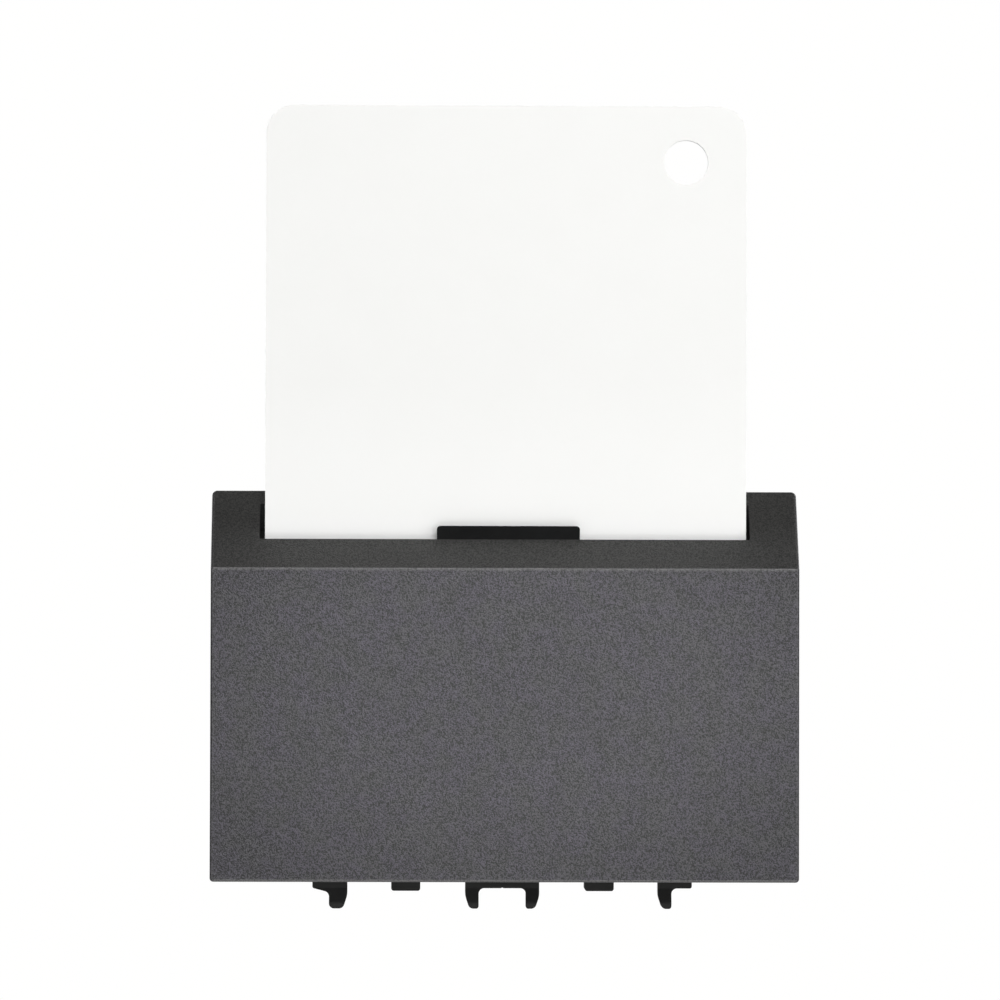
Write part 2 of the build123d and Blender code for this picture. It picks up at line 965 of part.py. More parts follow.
def clip_row():
    """The stop tabs and clip fingers along the frame's lower edge."""
    row = Part()
    z_root = -frame_height / 2 + finger_root
    z_stop = -frame_height / 2 - stop_height
    end_edge = frame_width / 2 - web_inset - module_pitch / 2
    for module in (-1, 1):
        x = module_middle(module)
        row += clip_finger(x, -module, module_pitch / 2 + seat_gap, 0, 0, finger_tip_radius, 0)
        if module < 0:
            row += clip_finger(
                x,
                module,
                end_edge,
                end_finger_inner,
                end_finger_outer,
                end_tip_radius,
                end_web_drop,
            )
        else:
            row += clip_finger(x, module, end_edge, 0, 0, finger_tip_radius, 0)
        row += prism_y(
            [
                (x - stop_width / 2, z_root),
                (x - stop_width / 2, z_stop),
                (x + stop_width / 2, z_stop),
                (x + stop_width / 2, z_root),
            ],
            y_clip + finger_wall - stop_depth,
            y_clip + finger_wall,
            [(1, stop_corner), (2, stop_corner)],
        )
    return row


def flex_slots():
    """Slots beside each clip web that let it bend with the wall that carries it."""
    reach = finger_inner - flex_slot * 2
    slots = Part()
    for module in (-1, 1):
        for side in (-1, 1):
            x = module_middle(module) + side * reach
            slots += span(
                x - flex_slot / 2,
                x + flex_slot / 2,
                frame_depth - flex_slot_length,
                frame_depth + overrun,
                -frame_height,
                -frame_height / 2 + frame_wall + overrun,
            )
    return slots


def frame_shell():
    neck = rounded_y(frame_width, neck_height, frame_corner, y_pocket_back, shoulder_gap + neck_depth)
    body = rounded_y(frame_width, frame_height, frame_corner, shoulder_gap, frame_depth)
    inner_width = frame_width - 2 * frame_wall
    neck_inner = rounded_y(
        inner_width,
        neck_height - 2 * frame_wall,
        frame_corner,
        y_pocket_back - overrun,
        frame_depth,
    )
    body_inner = rounded_y(
        inner_width,
        frame_height - 2 * frame_wall,
        frame_corner,
        shoulder_gap + neck_depth,
        frame_depth + overrun,
    )
    return neck + body - neck_inner - body_inner


def frame_cutouts():
    """Room for the cover's sloping wall at the neck's top, and for the lever in its floor."""
    y_low = y_pocket_back - overrun
    y_high = y_front + (neck_height / 2 + slope_drop + overrun - z_fold) / slope_grade
    over_neck = prism_x(
        [(y_low, under_slope_z(y_low)), (y_low, z_top + overrun), (y_high, under_slope_z(y_high))],
        -frame_width,
        frame_width,
    )
    half = lever_arm_width / 2 + swing_gap
    z_open = -neck_height / 2 + frame_wall + overrun
    return over_neck + span(-half, half, y_low, y_lever_back + swing_gap, z_bottom, z_open)


def frame_lugs():
    lugs = Part()
    for x, z in lug_places():
        half = lug_size / 2 + seat_gap
        lug = span(x - half, x + half, y_lug, y_lug + lug_wall, z - half, z + half)
        hole_radius = frame_screw_radius + run_gap
        lugs += lug - rod_y(x, z, hole_radius, y_lug - overrun, y_lug + lug_wall + overrun)
    return lugs


def switch_shelf():
    """The shelf under the switch, its ribs, and the latch that holds the switch's free end."""
    y0 = y_switch + seat_gap
    y1 = y_shelf_back
    x0 = switch_left - shelf_wall
    x1 = switch_right + run_gap + latch_wall
    shelf = span(x0, x1, y0, y1, z_shelf - shelf_wall, z_shelf)
    shelf -= rod_z(x_screw, y_screw, switch_screw_radius, z_shelf - shelf_wall * 2, z_shelf + overrun)
    z_wall = -frame_height / 2 + frame_wall - seat_gap
    y_rib = shoulder_gap + neck_depth + seat_gap
    for x in (x0, terminal_places[1], x1 - shelf_rib):
        shelf += span(x, x + shelf_rib, y_rib, y1, z_wall, z_shelf - shelf_wall + seat_gap)
    x_latch = switch_right + run_gap
    y_latch = (y_switch + y_switch_back) / 2
    z_over = z_lid + switch_wall + run_gap
    shelf += span(
        x_latch,
        x_latch + latch_wall,
        y_latch - latch_depth / 2,
        y_latch + latch_depth / 2,
        z_shelf - seat_gap,
        z_over + latch_nose,
    )
    shelf += span(
        x_latch - latch_nose,
        x_latch + latch_wall,
        y_latch - latch_depth / 2,
        y_latch + latch_depth / 2,
        z_over,
        z_over + latch_nose,
    )
    return shelf


def barb_heights():
    offset = barb_height_share * housing_height / 2
    return [-offset, offset]


def barb_windows():
    windows = Part()
    y1 = frame_depth - skirt_depth + barb_length + fit_gap
    for z in barb_heights():
        windows += span(
            -frame_width,
            frame_width,
            y1 - barb_length - fit_gap * 2,
            y1 + fit_gap,
            z - barb_width / 2 - fit_gap,
            z + barb_width / 2 + fit_gap,
        )
    return windows


def mounting_frame():
    rows = clip_row()
    slots = flex_slots()
    body = frame_shell() + rows + mirror(rows, about=Plane.XY)
    body = body - slots - mirror(slots, about=Plane.XY) - barb_windows() - frame_cutouts()
    return body + frame_lugs() + switch_shelf()


def frame_screws():
    screws = []
    for x, z in lug_places():
        y_head = y_lug + lug_wall
        screw = rod_y(x, z, frame_screw_radius, y_head - frame_screw_length, y_head)
        screw += rod_y(x, z, frame_screw_head_radius, y_head, y_head + frame_screw_head)
        half = driver_slot / 2
        reach = frame_screw_head_radius
        y_slot = y_head + frame_screw_head - driver_slot_depth
        screw -= span(x - reach, x + reach, y_slot, y_head + overrun, z - half, z + half)
        screw -= span(x - half, x + half, y_slot, y_head + overrun, z - reach, z + reach)
        screws.append(screw)
    return Compound(screws)


# Rear housing
def housing_shell():
    body = rounded_y(housing_width, housing_height, housing_corner, frame_depth, y_housing_back)
    back_edges = [e for e in body.edges() if abs(e.center().Y - y_housing_back) < seat_gap]
    body = fillet(back_edges, radius=housing_wall / 2)
    inner_width = frame_width - 2 * frame_wall
    inner_height = frame_height - 2 * frame_wall
    body += rounded_y(
        inner_width - 2 * fit_gap,
        inner_height - 2 * fit_gap,
        frame_corner,
        frame_depth - skirt_depth,
        frame_depth + seat_gap,
    )
    body -= rounded_y(
        inner_width - 2 * fit_gap - 2 * skirt_wall,
        inner_height - 2 * fit_gap - 2 * skirt_wall,
        frame_corner,
        frame_depth - skirt_depth - overrun,
        y_housing_back - housing_back,
    )
    return body


def housing_barbs():
    barbs = Part()
    x_skirt = frame_width / 2 - frame_wall - fit_gap
    y0 = frame_depth - skirt_depth + fit_gap
    for z in barb_heights():
        barbs += prism_z(
            [
                (x_skirt - seat_gap, y0),
                (x_skirt, y0),
                (x_skirt + barb_reach, y0 + barb_length - barb_reach),
                (x_skirt + barb_reach, y0 + barb_length - seat_gap * 2),
                (x_skirt - seat_gap, y0 + barb_length - seat_gap * 2),
            ],
            z - barb_width / 2,
            z + barb_width / 2,
        )
    return both_sides(barbs)


def housing_dividers():
    dividers = Part()
    z_high = housing_height / 2 - housing_wall
    for i in range(5):
        x = terminal_pitch * (i - 2)
        dividers += span(
            x - divider_wall / 2,
            x + divider_wall / 2,
            frame_depth + seat_gap,
            y_housing_back - housing_back + seat_gap,
            terminal_height - cage_height / 2 - divider_below,
            z_high,
        )
    return dividers


def rear_housing():
    body = housing_shell() + housing_barbs() + housing_dividers()
    for x in terminal_places:
        y0 = y_cage_back + run_gap
        body -= rod_y(x, terminal_height, driver_hole_radius, y0, y_housing_back + overrun)
        y_wire = y_cage + cage_wall + wire_space / 2
        body -= rod_z(x, y_wire, wire_hole_radius, terminal_height, housing_height)
    return body


# Terminals
def terminal_cages():
    cages = []
    z0 = terminal_height - cage_height / 2
    z1 = terminal_height + cage_height / 2
    for x in terminal_places:
        half = cage_width / 2
        cage = span(x - half, x + half, y_cage, y_cage_back, z0, z1)
        cage -= span(
            x - half + cage_wall,
            x + half - cage_wall,
            y_cage + cage_wall,
            y_cage_back - cage_wall,
            z0 - overrun,
            z1 + overrun,
        )
        cage -= rod_y(
            x,
            terminal_height,
            terminal_screw_radius + run_gap / 2,
            y_cage_back - cage_wall - overrun / 2,
            y_cage_back + overrun,
        )
        cages.append(cage)
    return Compound(cages)


def terminal_screws():
    screws = []
    z = terminal_height
    for x in terminal_places:
        y_head = y_cage_back + seat_gap
        screw = rod_y(x, z, terminal_screw_radius, y_busbar_back + seat_gap, y_head)
        screw += rod_y(x, z, terminal_head_radius, y_head, y_head + terminal_head)
        half = driver_slot / 2
        reach = terminal_head_radius
        y_slot = y_head + terminal_head - driver_slot_depth
        screw -= span(x - reach, x + reach, y_slot, y_head + overrun * 2, z - half, z + half)
        screw -= span(x - half, x + half, y_slot, y_head + overrun * 2, z - reach / 2, z + reach / 2)
        screws.append(screw)
    return Compound(screws)


def busbar_upright(place, z_low):
    half = busbar_width / 2
    z_high = terminal_height + cage_height / 2
    return span(place - half, place + half, y_busbar, y_busbar_back, z_low, z_high)


def busbar_foot(place):
    """The level part that lies on the switch's tab."""
    z_low = z_switch + tab_wall / 2
    z_high = z_low + busbar_wall
    half = tab_width / 2
    return span(place - half, place + half, y_switch_back + seat_gap, y_busbar_back, z_low, z_high)


def lamp_arm_height():
    return board_middle() - board_height / 2 - lamp_arm_drop


def busbar_lamp_arm(place):
    """The arm that reaches forward and presses on the lamp board."""
    half = tab_width / 2
    y_touch = y_board_back + run_gap
    z0 = lamp_arm_height()
    z1 = z0 + lamp_arm_rise + board_height / 4
    arm = span(place - half, place + half, y_touch, y_busbar + seat_gap, z0, z0 + busbar_wall)
    return arm + span(place - half, place + half, y_touch, y_touch + busbar_wall, z0, z1)


def common_busbar():
    place = terminal_places[0]
    z_low = z_switch + tab_wall / 2
    return busbar_foot(place) + busbar_upright(place, z_low) + busbar_lamp_arm(place)


def working_busbar():
    place = terminal_places[1]
    return busbar_foot(place) + busbar_upright(place, z_switch + tab_wall / 2)


def resting_busbar():
    place = terminal_places[2]
    return busbar_foot(place) + busbar_upright(place, z_switch + tab_wall / 2)


def neutral_busbar():
    place = terminal_places[3]
    return busbar_upright(place, lamp_arm_height()) + busbar_lamp_arm(place)


pieces = [
    front_cover,
    card_pocket,
    card_clip,
    key_card,
    locator_lens,
    locator_led,
    lamp_board,
    lamp_resistor,
    lamp_diode,
    switch_lever,
    lever_pin,
    lever_spring,
    switch_case,
    switch_lid,
    switch_plunger,
    contact_blade,
    snap_spring,
    common_contact,
    working_contact,
    resting_contact,
    switch_screw,
    mounting_frame,
    frame_screws,
    rear_housing,
    terminal_cages,
    terminal_screws,
    common_busbar,
    working_busbar,
    resting_busbar,
    neutral_busbar,
]

os.makedirs("parts", exist_ok=True)
for piece in pieces:
    export_step(piece(), f"parts/{piece.__name__}.step")
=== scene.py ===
import math

import bpy
from mathutils import Matrix, Vector

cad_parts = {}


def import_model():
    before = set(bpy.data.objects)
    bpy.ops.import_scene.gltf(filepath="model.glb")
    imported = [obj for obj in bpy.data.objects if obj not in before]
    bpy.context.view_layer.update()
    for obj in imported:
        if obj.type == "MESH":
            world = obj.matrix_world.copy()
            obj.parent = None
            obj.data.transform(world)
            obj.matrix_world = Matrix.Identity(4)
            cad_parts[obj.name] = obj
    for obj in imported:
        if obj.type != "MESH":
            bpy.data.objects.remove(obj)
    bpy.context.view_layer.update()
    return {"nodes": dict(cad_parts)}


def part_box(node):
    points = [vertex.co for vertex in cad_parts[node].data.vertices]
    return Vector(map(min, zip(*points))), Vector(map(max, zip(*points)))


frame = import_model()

# Hotel key card switch. Metres; X to the right, Y back into the wall, Z up.
nodes = frame["nodes"]

# Camera
FRAME_PIXELS = 1000
FOCAL_PIXELS = 5210.7
SENSOR_WIDTH = 36.0
CAMERA_PLACE = (-0.00966, -0.5924, 0.00682)
YAW_PITCH_ROLL = (0.893, 1.377, 0.145)
CLIP_START, CLIP_END = 0.01, 20

# Places on the cover where its look changes
FOLD_Z = 0.01305
FOLD_FADE = (0.0130, 0.0133)
TOP_SHADE_FADE = (0.0155, 0.0185)
SLOPE_NORMAL = (0, -0.732, 0.681)
SLOT_REAR_Y = -0.00565
# How far the painted shade on the cover's face reaches
FALLOFF_X, FALLOFF_Z = 0.0295, 0.018

# Places on the card, as it stands in the slot
CARD_MIDDLE_Y = -0.00752
CARD_LOWER_LIGHT_FADE = (0.018, 0.034)
CARD_LIP_LIGHT_FADE = (0.0165, 0.0195)
CARD_CORE_EDGE = (0.00024, 0.00027)

# Places on the lamp's pieces and the contact blade
LED_BASE_FADE = (-0.00335, -0.00325)
BOARD_ROW = 0.0024
RESISTOR_PAD_X, DIODE_PAD_X = 0.00475, 0.0039
RESISTOR_HALF, DIODE_HALF = 0.00315, 0.0023
BAND_FADE = 0.00004
LEAD_FADE = 0.00001
BUTTON_DEPTH = (0.00019, 0.00021)
BUTTON_X = (-0.005, -0.004)

# The part of a noise's values that a ramp spreads
GRAIN, NARROW, MIDDLE, WIDE = (0.38, 0.62), (0.4, 0.6), (0.35, 0.65), (0.3, 0.7)

# Colours that show in front
FACE_TINTS = (0.0340, 0.0328, 0.0378), (0.0356, 0.0318, 0.0446)
# Painted light: the slope's own tint, lighter and neutral, stands in for how the light falls on
# the slope
PAINTED_LIGHT_SLOPE_TINT = (0.0405, 0.0401, 0.0389)
# Painted highlight on the cover's rounded edges and fold
PAINTED_HIGHLIGHT_TINT = (0.108, 0.106, 0.107)
# Painted shade in the slot, behind the card
PAINTED_SLOT_SHADE = (0.003, 0.003, 0.003)
# Painted shade on the top of the slope, beside the slot
PAINTED_SHADE_BESIDE_SLOT = (0.78, 0.78, 0.76)
# Painted shade towards the corners of the cover's face
PAINTED_SHADE_OFF_MIDDLE = (0.75, 0.75, 0.75)
CARD_TINTS = (0.908, 0.909, 0.892), (0.913, 0.914, 0.898)
# Painted light on the card's foot, lifting the shade near the slot's lip
PAINTED_LIGHT_CARD_LOWER = (0.962, 0.963, 0.948)
PAINTED_LIGHT_CARD_LIP = (0.990, 0.990, 0.982)
CARD_SHEET_TINT = (0.66, 0.66, 0.64)
GLOSSY_BLACKS = (0.0075, 0.0078, 0.0078), (0.0098, 0.0100, 0.0102)
FRAME_BLACK = (0.032, 0.032, 0.0312)

# Colours of the pieces inside and behind
POCKET_BLACK = (0.0135, 0.0135, 0.0135)
SWITCH_BLACK = (0.018, 0.018, 0.021)
HOUSING_BLACK = (0.024, 0.024, 0.025)
WORN_BLACK = (0.045, 0.045, 0.045)
LEVER_WHITE, WORN_WHITE = (0.60, 0.60, 0.56), (0.7, 0.7, 0.66)
PLUNGER_RED, WORN_RED = (0.32, 0.035, 0.022), (0.42, 0.08, 0.05)
STEEL, STEEL_TARNISH = (0.60, 0.60, 0.58), (0.44, 0.43, 0.40)
SPRING_STEEL, SPRING_TARNISH = (0.48, 0.48, 0.49), (0.36, 0.34, 0.31)
BRASS, BRASS_TARNISH = (0.80, 0.60, 0.27), (0.50, 0.34, 0.15)
COPPER_TINTS = (0.62, 0.34, 0.2), (0.76, 0.45, 0.28)
SILVER = (0.86, 0.85, 0.82)
TIN, BARE_PAD = (0.72, 0.71, 0.68), (0.72, 0.70, 0.66)
LENS_TINTS = (0.90, 0.93, 0.95), (0.97, 0.98, 0.99)
DOME_TINT = (0.93, 0.88, 0.62)
PACKAGE_TINTS = (0.78, 0.78, 0.76), (0.86, 0.86, 0.84)
MASK_TINTS = (0.012, 0.085, 0.030), (0.018, 0.115, 0.042)
TRACK_TINT = (0.045, 0.19, 0.055)
RESISTOR_TINT, DIODE_TINT = (0.62, 0.50, 0.33), (0.017, 0.017, 0.018)

# Bands on the lamp's pieces: place along X, width and colour
RESISTOR_BANDS = (
    (-0.0023, 0.0006, (0.35, 0.06, 0.03)),
    (-0.0011, 0.0005, (0.30, 0.06, 0.35)),
    (0.0001, 0.0005, (0.75, 0.42, 0.03)),
    (0.0021, 0.0005, (0.55, 0.42, 0.12)),
)
DIODE_BANDS = ((0.0014, 0.0007, (0.62, 0.62, 0.60)),)

# Floor and surroundings
FLOOR_RADIUS, FLOOR_Z, FLOOR_POINTS = 2.5, -0.42, 96
FLOOR_FADE = (0.2, 0.5)
FLOOR_LIFT = 0.3
PAPER_TINTS = (0.84, 0.84, 0.835), (0.86, 0.86, 0.855)
WHITE, SKY_WHITE = (1.0, 1.0, 1.0), (1.0, 1.0, 0.996)
SKY_FILL = 0.27
SKY_GLOSS = (0.08, 1.0)

# Lights: name, place, target, width, height and power
LIGHTS = (
    ("upper_box", (0.04, -0.90, 0.43), (0, 0, 0), 0.45, 0.18, 3.85),
    ("lower_box", (0.0, -0.62, -0.25), (0, 0, 0), 0.30, 0.12, 0.45),
    ("near_box", (0.24, -0.60, 0.0), (0, 0, 0), 0.12, 0.30, 0.68),
    ("right_box", (0.75, -0.80, 0.0), (0, 0, 0), 0.30, 0.40, 1.2),
    ("back_left", (-0.75, 0.85, 0.35), (0, 0.01, 0), 0.5, 0.6, 2.0),
    ("back_right", (0.75, 0.85, 0.35), (0, 0.01, 0), 0.5, 0.6, 3.0),
)


def link(name, data):
    """A new object in the scene."""
    made = bpy.data.objects.new(name, data)
    bpy.context.scene.collection.objects.link(made)
    return made


def camera():
    """The camera: almost straight on, a little above the middle of the cover."""
    data = bpy.data.cameras.new("camera")
    data.sensor_width = SENSOR_WIDTH
    data.lens = FOCAL_PIXELS / FRAME_PIXELS * SENSOR_WIDTH
    data.clip_start = CLIP_START
    data.clip_end = CLIP_END
    yaw, pitch, roll = (math.radians(angle) for angle in YAW_PITCH_ROLL)
    level = Vector((math.sin(yaw), math.cos(yaw), 0))
    ahead = level * math.cos(pitch) + Vector((0, 0, math.sin(pitch)))
    right = Vector((math.cos(yaw), -math.sin(yaw), 0))
    up = right.cross(ahead)
    x_axis = right * math.cos(roll) + up * math.sin(roll)
    y_axis = up * math.cos(roll) - right * math.sin(roll)
    turn = Matrix((x_axis, y_axis, -ahead)).transposed().to_4x4()
    made = link("camera", data)
    made.matrix_world = Matrix.Translation(CAMERA_PLACE) @ turn
    bpy.context.scene.camera = made


# Node trees
class Tree:
    """Adds nodes to a tree in one line each."""

    def __init__(self, owner):
        owner.use_nodes = True
        self.tree = owner.node_tree
        self.tree.nodes.clear()

    def add(self, kind, inputs=None, **settings):
        node = self.tree.nodes.new(kind)
        for key, value in settings.items():
            setattr(node, key, value)
        for key, value in (inputs or {}).items():
            self.put(node.inputs[key], value)
        return node

    def put(self, socket, value):
        if isinstance(value, bpy.types.NodeSocket):
            self.tree.links.new(value, socket)
        elif isinstance(value, bpy.types.Node):
            self.tree.links.new(value.outputs[0], socket)
        elif isinstance(value, tuple) and len(value) == 3 and socket.type == "RGBA":
            socket.default_value = (*value, 1)
        else:
            socket.default_value = value

    def calc(self, operation, a, b=0.0, clamp=False):
        return self.add("ShaderNodeMath", {0: a, 1: b}, operation=operation, use_clamp=clamp)

    def times(self, a, b):
        return self.calc("MULTIPLY", a, b)

    def ramp(self, value, low, high, out_low=0.0, out_high=1.0):
        """The value moved from low..high to out_low..out_high, and held there."""
        return self.add("ShaderNodeMapRange", {
            "Value": value,
            "From Min": low,
            "From Max": high,
            "To Min": out_low,
            "To Max": out_high,
        }, clamp=True)

    def band(self, value, middle, inner, outer, peak=1.0):
        """The peak as far as inner from the middle, falling to 0 at outer."""
        away = self.calc("ABSOLUTE", self.calc("SUBTRACT", value, middle))
        return self.ramp(away, inner, outer, peak, 0.0)

    def blend(self, factor, a, b):
        """A number between a and b."""
        return self.add("ShaderNodeMix", {0: factor, 2: a, 3: b}, data_type="FLOAT").outputs[0]

    def mix(self, factor, a, b, blend="MIX"):
        """A colour between a and b."""
        node = self.add("ShaderNodeMix", data_type="RGBA", blend_type=blend)
        self.put(node.inputs[0], factor)
        self.put(node.inputs[6], a)
        self.put(node.inputs[7], b)
        return node.outputs[2]

    def shade(self, tint, level):
        """The tint times a level."""
        grey = self.add("ShaderNodeCombineColor", {0: level, 1: level, 2: level})
        return self.mix(1.0, tint, grey, "MULTIPLY")

    def noise(self, coords, scale, detail=2.0, rough=0.5, stretch=None):
        if stretch:
            coords = self.add("ShaderNodeMapping", {"Vector": coords, "Scale": stretch})
        inputs = {"Vector": coords, "Scale": scale, "Detail": detail, "Roughness": rough}
        return self.add("ShaderNodeTexNoise", inputs).outputs["Fac"]

    def xyz(self, vector):
        return self.add("ShaderNodeSeparateXYZ", {0: vector}).outputs

    def normal(self):
        return self.add("ShaderNodeNewGeometry").outputs["Normal"]

    def measure(self, operation, *vectors):
        """A number from one or two vectors."""
        inputs = dict(enumerate(vectors))
        return self.add("ShaderNodeVectorMath", inputs, operation=operation).outputs["Value"]

    def bump(self, height, distance, strength, normal=None):
        inputs = {"Height": height, "Distance": distance, "Strength": strength}
        if normal is not None:
            inputs["Normal"] = normal
        return self.add("ShaderNodeBump", inputs).outputs["Normal"]

    def surface(self, inputs):
        return self.add("ShaderNodeBsdfPrincipled", inputs)


def material(name, build):
    """A new material whose surface is what build returns."""
    made = bpy.data.materials.new(name)
    tree = Tree(made)
    coords = tree.add("ShaderNodeTexCoord").outputs["Object"]
    tree.add("ShaderNodeOutputMaterial", {"Surface": build(tree, coords)})
    return made


def scaled(colour, by):
    return tuple(min(1.0, channel * by) for channel in colour)


def facing(tree, axis):
    """How squarely the surface faces either way along an axis, 0 to 1."""
    return tree.calc("ABSOLUTE", tree.xyz(tree.normal())[axis])


def worn_edges(tree, radius):
    """1 along sharp edges, 0 on faces, and the rounded normal there."""
    soft = tree.add("ShaderNodeBevel", {"Radius": radius}, samples=4).outputs["Normal"]
    turned = tree.calc("SUBTRACT", 1.0, tree.measure("DOT_PRODUCT", soft, tree.normal()))
    return tree.ramp(turned, 0.02, 0.25), soft


def edge_highlight_mask(tree):
    """Where the cover's highlight is painted: 1 on the level rounded edges of the cover's face
    and slope, 0 on its faces and sides.
    """
    normal = tree.normal()
    nearest = 0.0
    for flat in ((0, 1, 0), (1, 0, 0), (0, 0, 1), SLOPE_NORMAL):
        to_flat = tree.calc("ABSOLUTE", tree.measure("DOT_PRODUCT", normal, flat))
        nearest = tree.calc("MAXIMUM", nearest, to_flat)
    off_faces = tree.ramp(nearest, 0.990, 0.9990, 1.0, 0.0)
    return tree.times(off_faces, tree.ramp(facing(tree, "X"), 0.1, 0.4, 1.0, 0.0))


# Materials
def graphite(tree, coords):
    """Dark grey moulding with a fine eroded grain that glints a little, polished at its edges,
    with painted light, shade and highlights in its colour.
    """
    x, y, z = tree.xyz(coords)
    coarse = tree.noise(coords, scale=4300, detail=1.0)
    fine = tree.noise(coords, scale=8600, detail=0.0)
    grain = tree.blend(0.45, coarse, fine)
    blotch = tree.noise(coords, scale=170, detail=3.0, rough=0.6)
    hue = tree.noise(coords, scale=330, detail=1.5)

    # The face has two tints; the slope's neutral tint is painted light, and painted shade darkens
    # the slope beside the slot
    not_side = tree.ramp(facing(tree, "X"), 0.4, 0.8, 1.0, 0.0)
    above_fold = tree.times(tree.ramp(z, *FOLD_FADE), not_side)
    painted_shade_top = tree.times(tree.ramp(z, *TOP_SHADE_FADE), not_side)
    tint = tree.mix(tree.ramp(hue, *NARROW), *FACE_TINTS)
    tint = tree.mix(above_fold, tint, PAINTED_LIGHT_SLOPE_TINT)
    tint = tree.mix(painted_shade_top, tint, PAINTED_SHADE_BESIDE_SLOT, "MULTIPLY")

    # Painted shade: the face darkens a little away from its middle
    aside = tree.times(x, 1 / FALLOFF_X)
    below = tree.times(z, 1 / FALLOFF_Z)
    outer = tree.calc("ADD", tree.times(aside, aside), tree.times(below, below))
    outer = tree.times(tree.ramp(outer, 0.5, 2.0), tree.calc("SUBTRACT", 1.0, above_fold))
    tint = tree.mix(outer, tint, PAINTED_SHADE_OFF_MIDDLE, "MULTIPLY")

    # Partly painted glint: the grain is the moulding's own, and its glints are painted into the
    # colour, more on the face than on the slope
    low = tree.ramp(above_fold, 0.0, 1.0, 0.15, 0.45)
    high = tree.calc("SUBTRACT", 2.0, low)
    tint = tree.shade(tint, tree.ramp(grain, *GRAIN, low, high))
    tint = tree.shade(tint, tree.ramp(blotch, *WIDE, 0.965, 1.035))
    rough = tree.ramp(grain, *GRAIN, 0.56, 0.42)

    # Painted highlight: the rounded edges and the fold get a lighter tint, and they are polished
    # a little smoother
    fold_highlight = tree.times(tree.band(z, FOLD_Z, 0.0001, 0.00022, 0.5), not_side)
    edge = tree.calc("MAXIMUM", edge_highlight_mask(tree), fold_highlight)
    edge = tree.times(edge, tree.ramp(coarse, 0.3, 0.6, 0.45, 1.0))
    tint = tree.mix(edge, tint, PAINTED_HIGHLIGHT_TINT)
    rough = tree.calc("SUBTRACT", rough, tree.times(edge, 0.08))
    rough = tree.calc("ADD", rough, tree.times(outer, 0.12))

    # Painted shade: the slot's rear wall, behind the card, is tinted near black and made dull
    square_on = tree.ramp(facing(tree, "Y"), 0.97, 0.99)
    slot_shade_mask = tree.times(tree.band(y, SLOT_REAR_Y, 0.00005, 0.00015), square_on)
    tint = tree.mix(slot_shade_mask, tint, PAINTED_SLOT_SHADE)
    rough = tree.calc("ADD", rough, tree.times(slot_shade_mask, 0.5), clamp=True)
    return tree.surface({
        "Base Color": tint,
        "Roughness": rough,
        "Specular IOR Level": 0.83,
        "Normal": tree.bump(grain, distance=0.00006, strength=1.0),
    })


def moulded(colour, rough=0.5, grain=0.00002, scale=2600, wear=WORN_BLACK, shine=0.3):
    """Plain moulded plastic with fine grain, flow marks and polished edges."""
    def build(tree, coords):
        fine = tree.noise(coords, scale, rough=0.6)
        flow = tree.noise(coords, scale=130, detail=3.0, rough=0.55, stretch=(1.0, 1.0, 0.35))
        edge, _ = worn_edges(tree, 0.00022)
        tint = tree.mix(tree.ramp(flow, *MIDDLE), scaled(colour, 0.86), scaled(colour, 1.14))
        uneven = tree.ramp(flow, *MIDDLE, rough - 0.05, rough + 0.05)
        return tree.surface({
            "Base Color": tree.mix(tree.times(edge, 0.35), tint, wear),
            "Roughness": tree.calc("SUBTRACT", uneven, tree.times(edge, 0.12)),
            "Specular IOR Level": shine,
            "Normal": tree.bump(fine, grain, strength=0.6),
        })
    return build


def smooth_black(tree, coords):
    """Glossy black plastic with faint flow marks."""
    flow = tree.noise(coords, scale=90, stretch=(1.0, 1.0, 0.3))
    haze = tree.noise(coords, scale=900, detail=3.0, rough=0.6)
    return tree.surface({
        "Base Color": tree.mix(tree.ramp(flow, *MIDDLE), *GLOSSY_BLACKS),
        "Roughness": tree.ramp(haze, *WIDE, 0.11, 0.17),
        "Specular IOR Level": 0.4,
        "Normal": tree.bump(flow, distance=0.00002, strength=0.3),
    })


def card_white(tree, coords):
    """Laminated card: a white core between two clear sheets, with a faint haze."""
    _, y, z = tree.xyz(coords)
    haze = tree.noise(coords, scale=160, detail=4.0, rough=0.6)
    fine = tree.noise(coords, scale=1500)
    tint = tree.mix(tree.ramp(haze, *MIDDLE), *CARD_TINTS)

    # Painted light: brighter towards the slot's lip, lifting the shade there; greyer where the
    # clear sheets show at the card's sides
    tint = tree.mix(tree.ramp(z, *CARD_LOWER_LIGHT_FADE, 1.0, 0.0), tint, PAINTED_LIGHT_CARD_LOWER)
    tint = tree.mix(tree.ramp(z, *CARD_LIP_LIGHT_FADE, 1.0, 0.0), tint, PAINTED_LIGHT_CARD_LIP)
    layer = tree.calc("ABSOLUTE", tree.calc("SUBTRACT", y, CARD_MIDDLE_Y))
    on_side = tree.calc("SUBTRACT", 1.0, facing(tree, "Y"), clamp=True)
    sheet = tree.times(tree.ramp(layer, *CARD_CORE_EDGE), on_side)
    return tree.surface({
        "Base Color": tree.mix(tree.times(sheet, 0.4), tint, CARD_SHEET_TINT),
        "Roughness": tree.ramp(haze, *WIDE, 0.35, 0.38),
        "Specular IOR Level": 0.4,
        "Normal": tree.bump(fine, distance=0.000004, strength=0.5),
    })


